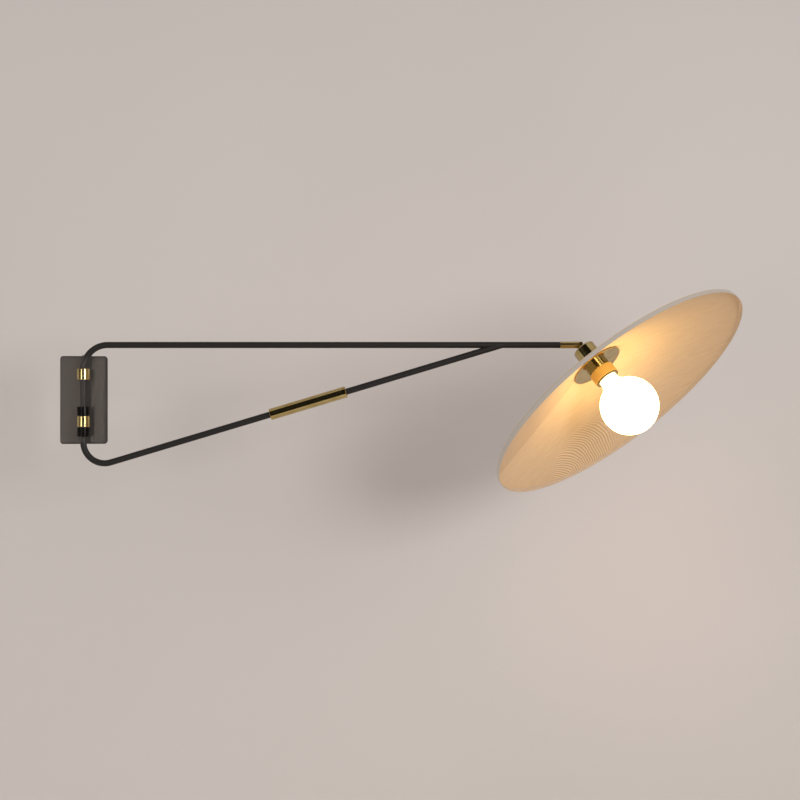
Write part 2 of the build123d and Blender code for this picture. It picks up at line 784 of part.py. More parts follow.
def make_all():
    """Every piece of the lamp by its name."""
    pieces = {
        "wall_cover": make_wall_cover(),
        "wall_bracket": make_wall_bracket(),
        "cover_screws": make_cover_screws(),
        "terminal_block": make_terminal_block(),
        "terminal_screws": make_terminal_screws(),
        "earth_screw": make_earth_screw(),
        "post_washers": make_post_washers(),
        "post_nuts": make_post_nuts(),
    }
    for name, height in eye_heights().items():
        pieces[name + "_bearing_eye"] = make_bearing(height)
        pieces[name + "_eye_top_bush"] = make_bush(height, 1)
        pieces[name + "_eye_bottom_bush"] = make_bush(height, -1)
    for name, start in collar_starts().items():
        pieces[name + "_stop_collar"] = make_collar(start)
        pieces[name + "_thrust_washer"] = make_thrust_washer(name)
    pieces.update({
        "collar_screws": make_collar_screws(),
        "frame_tube": make_frame_tube(),
        "brace_tube": make_brace_tube(),
        "brace_spigot": make_brace_spigot(),
        "grip_sleeve": make_grip_sleeve(),
        "grip_rear_ring": make_grip_end(-1),
        "grip_front_ring": make_grip_end(1),
        "grip_screw": make_grip_screw(),
        "tip_insert": make_tip_insert(),
        "swivel_washer": make_swivel_washer(),
        "swivel_fitting": make_swivel_fitting(),
        "swivel_screw": make_swivel_screw(),
        "knuckle_screw": make_knuckle_screw(),
        "knuckle_washers": make_knuckle_washers(),
        "knuckle_tongue": make_knuckle_tongue(),
        "tongue_nut": make_tongue_nut(),
        "holder_cup": make_holder_cup(),
        "lampholder_body": make_lampholder_body(),
        "holder_terminals": make_holder_terminals(),
        "holder_contact": make_holder_contact(),
        "screw_shell": make_screw_shell(),
        "lampholder_skirt": make_lampholder_skirt(),
        "skirt_lip": make_skirt_lip(),
        "shade_sheet": make_shade_sheet(),
        "rim_hoop": make_rim_hoop(),
        "shade_disc": make_shade_disc(),
        "clamp_ring": make_clamp_ring(),
        "bulb_globe": make_bulb_globe(),
        "bulb_cap": make_bulb_cap(),
        "bulb_insulator": make_bulb_insulator(),
        "bulb_contact": make_bulb_contact(),
    })
    return pieces


os.makedirs("parts", exist_ok=True)
for piece_name, piece in make_all().items():
    export_step(piece, "parts/" + piece_name + ".step")
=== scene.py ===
"""Looks of a pivoting wall lamp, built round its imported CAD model.

Metres, in the model's own frame: the wall is the plane y = 0 and the lamp stands out from it towards -Y.
Pieces of the arm are shaped in the arm's frame, whose X runs along the bar, and pieces of the head in the
head's frame, whose origin is the tilt screw and whose Z runs the way the light goes. Each finished piece
is then put in its place in its mesh.
"""
import json
from math import asin, atan2, cos, hypot, pi, radians, sin, tan

import bpy
from mathutils import Matrix, Vector


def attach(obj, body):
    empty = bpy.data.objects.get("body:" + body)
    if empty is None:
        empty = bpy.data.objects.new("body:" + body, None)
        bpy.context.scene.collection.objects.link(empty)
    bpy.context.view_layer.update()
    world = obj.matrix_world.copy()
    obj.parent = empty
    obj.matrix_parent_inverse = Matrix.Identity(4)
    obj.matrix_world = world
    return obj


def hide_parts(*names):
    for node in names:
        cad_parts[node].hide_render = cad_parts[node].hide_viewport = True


bl_info = {
    "name": "Pivoting wall lamp",
    "version": (1, 0, 0),
    "blender": (4, 5, 0),
    "location": "View3D > Sidebar > Wall lamp",
    "description": "Shapes and finishes of a pivoting wall lamp round its CAD model",
    "category": "Object",
}

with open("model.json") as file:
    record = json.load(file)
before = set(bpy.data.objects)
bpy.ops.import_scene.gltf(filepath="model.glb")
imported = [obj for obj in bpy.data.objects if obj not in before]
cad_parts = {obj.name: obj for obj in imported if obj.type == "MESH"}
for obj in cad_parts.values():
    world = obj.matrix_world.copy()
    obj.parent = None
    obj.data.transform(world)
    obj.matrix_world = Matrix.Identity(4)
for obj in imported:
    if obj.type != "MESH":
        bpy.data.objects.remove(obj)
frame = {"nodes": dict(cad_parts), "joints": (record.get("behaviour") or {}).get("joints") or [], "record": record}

# Attitude at rest, as in the CAD model
ARM_SWING = radians(-10)
HEAD_ROLL = radians(-27)
HEAD_TILT = radians(180 - 33)

JOINTS = {joint["name"]: joint for joint in frame["joints"]}
PIVOT = Vector(JOINTS["arm_swing"]["pos_m"])
TILT_SCREW = Vector(JOINTS["head_tilt"]["pos_m"])
SWUNG = Matrix.Rotation(ARM_SWING, 4, "Z")
ARM = Matrix.Translation(PIVOT) @ SWUNG
SWIVEL = Matrix.Translation(TILT_SCREW) @ SWUNG @ Matrix.Rotation(HEAD_ROLL, 4, "X")
HEAD = SWIVEL @ Matrix.Rotation(HEAD_TILT, 4, "Y")

# The shade's card
CONE_SLOPE = radians(17.7)  # against the plane of the rim
ROLL_GAP = 0.001  # angle by which the roll stops short of a full turn, so that its two ends stay apart
LAP_PLACE = radians(9)  # of the lap's middle, round the shade from the head's X
LAP_CLEARANCE = 0.00005  # between the two layers of the lap
LAP_RAMP = 0.016  # length over which the last end rises to clear the first

# Edges that turn by less than this are shaded smooth
SMOOTH_BELOW = radians(35)

# Camera, fitted to the photo's frame
CAMERA_PLACE = (0.08215, -2.49751, 0)
CAMERA_YAW = radians(-10)
FOCAL_PIXELS = 1500
FRAME_PIXELS = 800
SENSOR_MM = 36

# Nearly all of a noise lies between these
NOISE_MIDDLE = {"From Min": 0.3, "From Max": 0.7}
# A mix of two colours, which go in at 6 and 7 and come out at 2
OF_COLOURS = {"data_type": "RGBA", "out": 2}

# Finish of each of the record's material slots, by the name of its material, with what it gives the eye
FINISHES = {
    "cover_paint": "matt grey-brown powder coat",  # a soft dark plane without a clear highlight
    "zinc_steel": "zinc-plated steel",  # cool grey with the faint crystals of its plating
    "fastener_steel": "bright plated steel",  # small bright glints
    "arm_paint": "black satin powder coat",  # near black, with one soft streak along each tube
    "collar_black": "blackened turned steel",  # dark, with fine rings that catch a little light
    "brass": "polished brass, upright",  # pale gold with hard dark bands from what stands round it
    "nylon": "natural nylon",  # milky and dull
    "black_nylon": "black nylon",  # black and dull
    "terminal_white": "moulded polyamide",  # warm white with a low sheen
    "porcelain": "glazed porcelain",  # warm white under a clear, slightly wavy gloss
    "phenolic": "brown moulded phenolic",  # deep brown, nearly matt
    "shade_card": "embossed card",  # cream, with a raised wood grain that the bulb's light picks out
    # The hoop's finish has painted light: a warmer inside for the bulb's light, and a faint glow
    "shade_hoop": "pale grey powder coat",  # a dull band, close to the wall's tone
    "contact_brass": "sprung brass",  # plain yellow metal
    "opal_glass": "lit opal glass",  # an even white glow, warmer at the neck
    "cap_metal": "nickel-plated cap",  # pale bright metal
    "cap_glass": "black cap glass",  # black and glossy
}
# Pieces whose finish isn't their slot's: brass whose axis isn't upright has its rings round its own axis
OWN_FINISHES = {
    "polished brass, brace": ("grip_sleeve", "grip_rear_ring", "grip_front_ring"),
    "polished brass, swivel": ("swivel_fitting", "knuckle_tongue", "knuckle_screw", "tip_insert"),
    "polished brass, head": ("holder_cup", "shade_disc", "clamp_ring"),
    "buff moulded ring": ("lampholder_skirt",),
    FINISHES["collar_black"]: ("collar_screws",),
}


def linear(code):
    """A linear colour from an sRGB hex value."""
    channels = [int(code[start:start + 2], 16) / 255 for start in (1, 3, 5)]
    return [c / 12.92 if c <= 0.04045 else ((c + 0.055) / 1.055) ** 2.4 for c in channels] + [1.0]


def scaled(tone, share):
    """A colour made darker, or lighter where the share is over 1."""
    return [channel * share for channel in tone[:3]] + [1.0]


def size(name, description, default):
    """A length that a user may change."""
    return bpy.props.FloatProperty(name=name, description=description, default=default, min=0, unit="LENGTH")


def colour(name, description, code):
    """A colour that a user may change."""
    return bpy.props.FloatVectorProperty(
        name=name, description=description, subtype="COLOR", size=4, min=0, max=1, default=linear(code)
    )


class LampSizes(bpy.types.PropertyGroup):
    """Sizes of the pieces that are shaped here, as in the CAD model."""

    tube_diameter: size("Tube", "Outside of the arm's tube", 0.010)
    tube_wall: size("Tube wall", "Thickness of the tube's wall", 0.0015)
    bar_end: size("Bar end", "Where the top bar ends, from the pivot", 0.7624)
    bar_rise: size("Bar height", "Height of the top bar over the lamp's middle", 0.088)
    upper_bend: size("Upper bend", "Radius of the bend into the top bar", 0.039)
    lower_bend: size("Lower bend", "Radius of the bend into the brace", 0.034)
    pivot_drop: size("Pivot drop", "Where the lower bend starts, under the lamp's middle", 0.067264)
    brace_meeting: size("Brace end", "Where the brace's middle line meets the bar's, from the pivot", 0.670)
    brace_joint: size("Brace joint", "Where the two tubes of the brace meet under the grip", 0.35935)
    sheet_thickness: size("Sheet", "Thickness of the shade's card", 0.001)
    sheet_hole: size("Sheet hole", "Radius of the hole for the lampholder", 0.0173)
    sheet_edge: size(
        "Sheet edge", "Radius of the card's edge, just inside the CAD's as its thickness grows square to its slope",
        0.2336,
    )
    sheet_edge_height: size("Sheet edge height", "Upper side of the card's edge, from the tilt screw", 0.1038)
    disc_radius: size("Disc", "Radius of the disc under the card", 0.043)
    lap_width: size("Lap", "How far the ends of the card lie over each other", 0.014)
    hoop_height: size("Hoop", "Height of the rim's hoop", 0.0064)
    hoop_thickness: size("Hoop thickness", "Thickness of the rim's hoop", 0.0012)
    hoop_radius: size("Hoop radius", "Outside of the rim's hoop", 0.235)
    wall_setback: size("Wall setback", "How far the backdrop stands behind the lamp, so that it may swing", 0.30)


class LampColours(bpy.types.PropertyGroup):
    """Colours of the finishes."""

    cover: colour("Cover", "Powder coat of the wall cover", "#322d29")
    arm: colour("Arm", "Powder coat of the tubes", "#1f1c1a")
    collar: colour("Collar", "Blackened steel of the stop collars", "#161413")
    brass: colour("Brass", "Polished brass", "#c7b57c")
    brass_tarnish: colour("Brass, aged", "Brass where it has gone a little browner", "#b39a62")
    card: colour("Card", "Cream card of the shade", "#dfc2a0")
    card_hollow: colour("Card, hollows", "Card at the bottom of its embossed grain", "#c09d77")
    # Card with painted shade, towards the end that lies inside at the lap
    card_lap_shade: colour("Card, at the lap", "Card towards the end that lies inside at the lap", "#c8a88b")
    hoop: colour("Hoop", "Paint of the rim on its outside", "#766f67")
    # The rim's grey paint with the bulb's light painted in, for its inside
    hoop_bulb_lit_inside: colour("Hoop, inside", "Paint of the rim on the side that the bulb lights", "#9d8b7c")
    # Painted light: the room's light as a faint glow on the rim's outside
    hoop_painted_glow: colour("Hoop, glow", "Light of the room on the rim's outside", "#ffeddd")
    ring: colour("Ring", "Moulded ring at the lampholder's mouth", "#d6a64c")
    glow: colour("Glow", "Light of the bulb", "#ffe39b")
    wall: colour("Wall", "Paint of the backdrop", "#cdc5c0")


def add_node(tree, kind, inputs=None, out=0, to=None, **settings):
    """Adds a node with its settings and links, and returns one of its outputs.

    Each input gets a value or another node's output. The output that is returned also goes to the socket in to.
    """
    node = tree.nodes.new(kind)
    for name, value in settings.items():
        setattr(node, name, value)
    for name, value in (inputs or {}).items():
        if isinstance(value, bpy.types.NodeSocket):
            tree.links.new(value, node.inputs[name])
        else:
            node.inputs[name].default_value = value
    if to is not None:
        tree.links.new(node.outputs[out], to)
    return node.outputs[out]


def new_finish(name, **sockets):
    """A material with one shader, and its node tree. Sockets that are the same all over are set on the shader."""
    material = bpy.data.materials.new(name)
    material.use_nodes = True
    tree = material.node_tree
    shader = tree.nodes["Principled BSDF"]
    for socket, value in sockets.items():
        shader.inputs[socket.replace("_", " ")].default_value = value
    return material, tree, shader


def local_point(tree, place=None, stretch=(1, 1, 1)):
    """The point on the surface, in a piece's own frame where its place is given, stretched along its axes."""
    point = add_node(tree, "ShaderNodeTexCoord", out="Object")
    if place is not None:
        back = place.inverted()
        point = add_node(tree, "ShaderNodeMapping", {
            "Vector": point, "Location": back.to_translation(), "Rotation": back.to_euler(),
        })
    return add_node(tree, "ShaderNodeMapping", {"Vector": point, "Scale": stretch})


def vary(tree, shader, tone, first, second, relief, smooth, rough, depth_mm, strength):
    """Varies a finish: its colour with one pattern, and its roughness and relief with another."""
    share = add_node(tree, "ShaderNodeMapRange", {"Value": tone, **NOISE_MIDDLE})
    add_node(tree, "ShaderNodeMix", {"Factor": share, 6: first, 7: second},
             to=shader.inputs["Base Color"], **OF_COLOURS)
    add_node(tree, "ShaderNodeMapRange", {"Value": relief, **NOISE_MIDDLE, "To Min": smooth, "To Max": rough},
             to=shader.inputs["Roughness"])
    add_node(tree, "ShaderNodeBump", {"Height": relief, "Distance": depth_mm / 1000, "Strength": strength},
             to=shader.inputs["Normal"])


def powder_coat(name, paint, rough, peel_mm):
    """Powder coat baked on steel: an even satin paint with the shallow orange peel that the melting leaves."""
    material, tree, shader = new_finish(name, IOR=1.5, Specular_IOR_Level=0.3)
    point = local_point(tree)
    peel = add_node(tree, "ShaderNodeTexNoise", {"Vector": point, "Scale": 1000 / peel_mm})
    fleck = add_node(tree, "ShaderNodeTexNoise", {"Vector": point, "Scale": 3000 / peel_mm, "Detail": 1.0})
    vary(tree, shader, fleck, scaled(paint, 0.88), scaled(paint, 1.12), peel, rough - 0.05, rough + 0.06, 0.04, 0.5)
    return material


def hoop_paint(name, colours, sizes):
    """Powder coat on the rolled hoop: pale grey outside, with a warmer tone on its inside that is painted bulb light.

    A faint glow is painted light: the room's light on its outside, and the bulb's light through the card on its
    inside.
    """
    peel_mm = 0.7
    material, tree, shader = new_finish(name, IOR=1.5, Specular_IOR_Level=0.3, Emission_Strength=0.25)
    across = add_node(tree, "ShaderNodeVectorMath", {0: local_point(tree, HEAD), 1: (1, 1, 0)}, operation="MULTIPLY")
    radius = add_node(tree, "ShaderNodeVectorMath", {0: across}, out="Value", operation="LENGTH")
    side = add_node(tree, "ShaderNodeMapRange", {
        "Value": radius,
        "From Min": sizes.hoop_radius - sizes.hoop_thickness * 0.75,
        "From Max": sizes.hoop_radius - sizes.hoop_thickness * 0.25,
    })
    # The inside takes the paint with the bulb's light painted in, the outside the plain grey paint
    dark, light = (
        add_node(tree, "ShaderNodeMix", {
            "Factor": side, 6: scaled(colours.hoop_bulb_lit_inside, share), 7: scaled(colours.hoop, share),
        }, **OF_COLOURS) for share in (0.88, 1.12)
    )
    point = local_point(tree)
    peel = add_node(tree, "ShaderNodeTexNoise", {"Vector": point, "Scale": 1000 / peel_mm})
    fleck = add_node(tree, "ShaderNodeTexNoise", {"Vector": point, "Scale": 3000 / peel_mm, "Detail": 1.0})
    vary(tree, shader, fleck, dark, light, peel, 0.45, 0.56, 0.04, 0.5)
    # Painted light: a faint glow of the bulb's light through the card on the inside, and of the room's light on the
    # outside
    add_node(tree, "ShaderNodeMix", {"Factor": side, 6: scaled(colours.card, 0.64), 7: colours.hoop_painted_glow},
             to=shader.inputs["Emission Color"], **OF_COLOURS)
    return material


def turned_metal(name, place, bright, dull, rough, line_mm):
    """Metal turned on a lathe and polished: fine rings round its axis, and a slow change of tone from ageing."""
    patch_mm = 14
    material, tree, shader = new_finish(name, Metallic=1.0, Coat_Weight=0.15, Coat_Roughness=0.08)
    patch = add_node(tree, "ShaderNodeTexNoise", {
        "Vector": local_point(tree, place), "Scale": 1000 / patch_mm, "Detail": 3.0,
    })
    rings = add_node(tree, "ShaderNodeTexNoise", {
        "Vector": local_point(tree, place, (0.02, 0.02, 1)), "Scale": 1000 / line_mm, "Detail": 3.0, "Roughness": 0.7,
    })
    vary(tree, shader, patch, bright, dull, rings, rough * 0.7, rough * 1.4, 0.004, 0.25)
    return material


def plated_steel(name, tone, rough):
    """Zinc-plated pressed steel: a grey metal with the faint crystals of its plating."""
    crystal_mm = 2.5
    material, tree, shader = new_finish(name, Metallic=1.0)
    spangle = add_node(tree, "ShaderNodeTexVoronoi", {"Vector": local_point(tree), "Scale": 1000 / crystal_mm})
    add_node(tree, "ShaderNodeMix", {"Factor": spangle, 6: scaled(tone, 0.85), 7: tone},
             to=shader.inputs["Base Color"], **OF_COLOURS)
    add_node(tree, "ShaderNodeMapRange", {"Value": spangle, **NOISE_MIDDLE, "To Min": rough, "To Max": rough + 0.12},
             to=shader.inputs["Roughness"])
    return material


def moulded(name, tone, rough, texture_mm):
    """Moulded plastic or resin: one tone with the shallow texture of the mould."""
    material, tree, shader = new_finish(name, IOR=1.5)
    texture = add_node(tree, "ShaderNodeTexNoise", {"Vector": local_point(tree), "Scale": 1000 / texture_mm})
    vary(tree, shader, texture, scaled(tone, 0.93), tone, texture, rough - 0.04, rough + 0.06, 0.02, 0.4)
    return material


def glazed(name, tone):
    """Glazed porcelain: a clear glaze over a pale body, with its slow waves."""
    wave_mm = 9
    material, tree, shader = new_finish(name, IOR=1.52, Coat_Weight=0.8, Coat_Roughness=0.05)
    wave = add_node(tree, "ShaderNodeTexNoise", {"Vector": local_point(tree), "Scale": 1000 / wave_mm})
    vary(tree, shader, wave, scaled(tone, 0.95), tone, wave, 0.18, 0.3, 0.05, 0.2)
    return material


def opal_glass(name, glow, strength):
    """Opal glass with a lit lamp behind it: it glows evenly, and a little warmer down at its neck."""
    neck_foot, neck_top = 0.066, 0.095
    material, tree, shader = new_finish(
        name, Base_Color=linear("#f4efe6"), IOR=1.5, Roughness=0.25, Emission_Strength=strength
    )
    along = add_node(tree, "ShaderNodeSeparateXYZ", {"Vector": local_point(tree, HEAD)}, out="Z")
    share = add_node(tree, "ShaderNodeMapRange", {"Value": along, "From Min": neck_foot, "From Max": neck_top})
    add_node(tree, "ShaderNodeMix", {"Factor": share, 6: scaled(glow, 0.45), 7: glow},
             to=shader.inputs["Emission Color"], **OF_COLOURS)
    return material


def embossed_card(name, colours):
    """Card faced with a foil that is embossed like flat-sawn wood: nested arches, and long grain beside them.

    It is drawn on the card as it lies before it is rolled, with the cone's point at the middle.
    """
    ridge_mm, waves_per_metre, wander = 4.4, 9.0, 0.03
    # The foil's own long grain is finer, and is drawn this wide so that it shows
    grain_mm, grain_turn = 3.0, radians(-22)
    # Just outside the card's edge
    arch_centre = Vector((0.175, 0.215, 0))
    material, tree, shader = new_finish(name, IOR=1.45, Roughness=0.6)
    flat = add_node(tree, "ShaderNodeUVMap", uv_map="Flat")
    part = add_node(tree, "ShaderNodeSeparateXYZ", {"Vector": flat}).node.outputs
    # A slow noise moves the point that both grains read, so that their lines wander
    drift = add_node(tree, "ShaderNodeTexNoise", {"Vector": flat, "Scale": waves_per_metre}, out="Color")
    drift = add_node(tree, "ShaderNodeVectorMath", {0: drift, 1: (0.5, 0.5, 0.5)}, operation="SUBTRACT")
    drift = add_node(tree, "ShaderNodeVectorMath", {0: drift, "Scale": wander}, operation="SCALE")
    point = add_node(tree, "ShaderNodeVectorMath", {0: flat, 1: drift}, operation="ADD")
    # The arches lie round their centre, and fade away from it and towards the long grain on both sides
    centred = add_node(tree, "ShaderNodeMapping", {"Vector": point, "Location": -arch_centre})
    reach = add_node(tree, "ShaderNodeVectorMath", {0: centred}, out="Value", operation="LENGTH")
    turn = add_node(tree, "ShaderNodeMath", {0: reach, 1: 2 * pi * 1000 / ridge_mm}, operation="MULTIPLY")
    arches = add_node(tree, "ShaderNodeMath", {0: turn}, operation="SINE")
    # Where each fade is measured, where it starts and ends, and the strength before and after it
    for value, start, end, first, last in (
        (reach, 0.14, 0.165, 0.9, 0.0),
        (part["Y"], 0.12, 0.16, 0.0, 1.0),
        (part["X"], 0.15, 0.185, 1.0, 0.0),
    ):
        fade = add_node(tree, "ShaderNodeMapRange", {
            "Value": value, "From Min": start, "From Max": end, "To Min": first, "To Max": last,
        })
        arches = add_node(tree, "ShaderNodeMath", {0: arches, 1: fade}, operation="MULTIPLY")
    lines = add_node(tree, "ShaderNodeMapping", {
        "Vector": point, "Rotation": (0, 0, grain_turn), "Scale": (0.07, 1, 1),
    })
    streaks = add_node(tree, "ShaderNodeTexNoise", {"Vector": lines, "Scale": 1000 / grain_mm})
    streaks = add_node(tree, "ShaderNodeMapRange", {"Value": streaks, **NOISE_MIDDLE, "To Min": 0.35, "To Max": 0.65})
    height = add_node(tree, "ShaderNodeMath", {0: arches, 1: streaks}, operation="ADD")
    # Painted shade: towards the end that lies inside at the lap the card is drawn darker and pinker, for the sheet
    # that stands off there
    angle = add_node(tree, "ShaderNodeMath", {0: part["Y"], 1: part["X"]}, operation="ARCTAN2")
    near = add_node(tree, "ShaderNodeMapRange", {"Value": angle, "From Min": -1.1, "From Max": -0.3})
    below = add_node(tree, "ShaderNodeMath", {0: part["Y"], 1: 0.0}, operation="LESS_THAN")
    near = add_node(tree, "ShaderNodeMath", {0: near, 1: below}, operation="MULTIPLY")
    face = add_node(tree, "ShaderNodeMix", {"Factor": near, 6: colours.card, 7: colours.card_lap_shade}, **OF_COLOURS)
    add_node(tree, "ShaderNodeMix", {"Factor": height, 6: colours.card_hollow, 7: face},
             to=shader.inputs["Base Color"], **OF_COLOURS)
    add_node(tree, "ShaderNodeBump", {"Height": height, "Distance": 0.0003, "Strength": 0.6},
             to=shader.inputs["Normal"])
    return material


def wall_paint(name, paint):
    """Matt paint laid on with a roller: a fine stipple and slow changes of tone.

    Its back is clear, so that a view from behind sees the lamp.
    """
    stipple_mm, patch_mm = 2.5, 600
    material, tree, shader = new_finish(name, Roughness=0.9)
    point = local_point(tree)
    patch = add_node(tree, "ShaderNodeTexNoise", {"Vector": point, "Scale": 1000 / patch_mm, "Detail": 1.0})
    share = add_node(tree, "ShaderNodeMapRange", {"Value": patch, **NOISE_MIDDLE})
    add_node(tree, "ShaderNodeMix", {"Factor": share, 6: scaled(paint, 0.985), 7: scaled(paint, 1.015)},
             to=shader.inputs["Base Color"], **OF_COLOURS)
    stipple = add_node(tree, "ShaderNodeTexNoise", {"Vector": point, "Scale": 1000 / stipple_mm})
    add_node(tree, "ShaderNodeBump", {"Height": stipple, "Distance": 0.0001, "Strength": 0.15},
             to=shader.inputs["Normal"])
    behind = add_node(tree, "ShaderNodeNewGeometry", out="Backfacing")
    clear = add_node(tree, "ShaderNodeBsdfTransparent")
    add_node(tree, "ShaderNodeMixShader", {0: behind, 1: shader.outputs["BSDF"], 2: clear},
             to=tree.nodes["Material Output"].inputs["Surface"])
    return material


def black_cloth(name):
    """Matt black cloth, as on a studio's flags: it gives back almost no light."""
    weave_mm = 2
    material, tree, shader = new_finish(name, Roughness=1.0)
    weave = add_node(tree, "ShaderNodeTexNoise", {"Vector": local_point(tree), "Scale": 1000 / weave_mm})
    add_node(tree, "ShaderNodeMix", {"Factor": weave, 6: linear("#0c0c0c"), 7: linear("#1a1a1a")},
             to=shader.inputs["Base Color"], **OF_COLOURS)
    return material


def clear_selection():
    """Leaves edit mode, with nothing selected."""
    if bpy.context.object is not None and bpy.context.object.mode != "OBJECT":
        bpy.ops.object.mode_set(mode="OBJECT")
    bpy.ops.object.select_all(action="DESELECT")


def begin(name):
    """Names the primitive just added, fixes its place in its mesh, and opens it for editing, all selected."""
    piece = bpy.context.object
    piece.name = piece.data.name = name
    bpy.ops.object.transform_apply(location=True, rotation=True, scale=True)
    bpy.ops.object.mode_set(mode="EDIT")
    bpy.ops.mesh.select_all(action="SELECT")
    return piece


def pick(piece, test):
    """Selects the points whose place passes a test, with the edges and faces between them."""
    bpy.ops.object.mode_set(mode="OBJECT")
    for face in piece.data.polygons:
        face.select = False
    for edge in piece.data.edges:
        edge.select = False
    for point in piece.data.vertices:
        point.select = test(point.co)
    bpy.ops.object.mode_set(mode="EDIT")
    bpy.ops.mesh.select_mode(type="VERT")


def pull(x, y, z):
    """Extrudes what is selected by that much."""
    bpy.ops.mesh.extrude_region_move(TRANSFORM_OT_translate={"value": (x, y, z)})


def close_up():
    """Merges doubles, turns the faces outward and leaves edit mode."""
    bpy.ops.mesh.select_all(action="SELECT")
    bpy.ops.mesh.remove_doubles(threshold=0.00001)
    bpy.ops.mesh.normals_make_consistent(inside=False)
    bpy.ops.object.mode_set(mode="OBJECT")


def apply_modifier(piece, kind, **settings):
    """Adds a modifier and applies it."""
    modifier = piece.modifiers.new(kind.title(), kind)
    for name, value in settings.items():
        setattr(modifier, name, value)
    bpy.ops.object.modifier_apply(modifier=modifier.name)


def set_down(piece, place, body, slot, *nodes):
    """Puts a finished piece in its place, with its finish, on its body and instead of its CAD nodes."""
    clear_selection()
    piece.select_set(True)
    bpy.context.view_layer.objects.active = piece
    piece.matrix_world = place
    bpy.ops.object.transform_apply(location=True, rotation=True, scale=True)
    bpy.ops.object.shade_smooth_by_angle(angle=SMOOTH_BELOW)
    piece.data.materials.clear()
    piece.data.materials.append(bpy.data.materials[FINISHES[slot]])
    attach(piece, body)
    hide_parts(*nodes)


def brace_climb(sizes):
    """The angle at which the brace climbs from the lower bend to the bar."""
    run, climb = sizes.brace_meeting - sizes.lower_bend, sizes.bar_rise + sizes.pivot_drop
    return atan2(climb, run) + asin(sizes.lower_bend / hypot(run, climb))


class LAMP_OT_finishes(bpy.types.Operator):
    """Makes the finishes and puts them on the pieces carried over from the CAD model"""

    bl_idname = "lamp.finishes"
    bl_label = "Finishes"

    def execute(self, context):
        colours, sizes = context.scene.lamp_colours, context.scene.lamp_sizes
        powder_coat(FINISHES["cover_paint"], colours.cover, 0.6, 0.9)
        powder_coat(FINISHES["arm_paint"], colours.arm, 0.5, 0.7)
        hoop_paint(FINISHES["shade_hoop"], colours, sizes)
        turned_metal(FINISHES["collar_black"], ARM, colours.collar, scaled(colours.collar, 0.6), 0.32, 0.5)
        for name, place in (
            (FINISHES["brass"], ARM),
            ("polished brass, brace", ARM @ Matrix.Rotation(pi / 2 - brace_climb(sizes), 4, "Y")),
            ("polished brass, swivel", SWIVEL @ Matrix.Rotation(pi / 2, 4, "Y")),
            ("polished brass, head", HEAD),
        ):
            turned_metal(name, place, colours.brass, colours.brass_tarnish, 0.12, 0.6)
        for slot, place, bright, dull, rough, line_mm in (
            ("contact_brass", HEAD, "#b9a05f", "#a38a4c", 0.3, 0.5),
            ("cap_metal", HEAD, "#c9c7c0", "#b5b2a9", 0.25, 0.5),
            ("fastener_steel", ARM, "#b7b9b8", "#9a9c9b", 0.28, 0.4),
        ):
            turned_metal(FINISHES[slot], place, linear(bright), linear(dull), rough, line_mm)
        plated_steel(FINISHES["zinc_steel"], linear("#a8abad"), 0.35)
        for slot, tone, rough, texture_mm in (
            ("nylon", "#e8e3d9", 0.45, 1.2),
            ("black_nylon", "#1b1b1b", 0.45, 1.2),
            ("terminal_white", "#e4dfd5", 0.4, 1.0),
            ("phenolic", "#33240f", 0.6, 1.0),
            ("cap_glass", "#1a1a20", 0.15, 2.0),
        ):
            moulded(FINISHES[slot], linear(tone), rough, texture_mm)
        moulded("buff moulded ring", colours.ring, 0.5, 1.5)
        glazed(FINISHES["porcelain"], linear("#efe6d8"))
        opal_glass(FINISHES["opal_glass"], colours.glow, 8.5)
        embossed_card(FINISHES["shade_card"], colours)
        finish_of = {row["node"]: FINISHES[row["material_slot"]] for row in frame["record"]["subparts"]}
        finish_of.update({node: name for name, nodes in OWN_FINISHES.items() for node in nodes})
        for node, piece in frame["nodes"].items():
            piece.data.materials.clear()
            piece.data.materials.append(bpy.data.materials[finish_of[node]])
        return {"FINISHED"}


class LAMP_OT_frame_tube(bpy.types.Operator):
    """Bends the tube that makes the top bar, the upright and the rear of the brace"""

    bl_idname = "lamp.frame_tube"
    bl_label = "Bent tube"

    def execute(self, context):
        sizes = context.scene.lamp_sizes
        rise, drop, big, small = sizes.bar_rise, sizes.pivot_drop, sizes.upper_bend, sizes.lower_bend
        slope = brace_climb(sizes)
        clear_selection()
        bpy.ops.mesh.primitive_circle_add(
            vertices=48, radius=sizes.tube_diameter / 2, location=(sizes.bar_end, 0, rise), rotation=(0, pi / 2, 0)
        )
        piece = begin("bent_tube")
        pull(big - sizes.bar_end, 0, 0)
        bpy.ops.mesh.spin(steps=24, angle=pi / 2, center=(big, 0, rise - big), axis=(0, 1, 0))
        pull(0, 0, big - rise - drop)
        bpy.ops.mesh.spin(steps=28, angle=pi / 2 + slope, center=(small, 0, -drop), axis=(0, 1, 0))
        length = (sizes.brace_joint - small - small * sin(slope)) / cos(slope)
        pull(length * cos(slope), 0, length * sin(slope))
        close_up()
        apply_modifier(piece, "SOLIDIFY", thickness=sizes.tube_wall, offset=-1)
        set_down(piece, ARM, "arm", "arm_paint", "frame_tube")
        return {"FINISHED"}


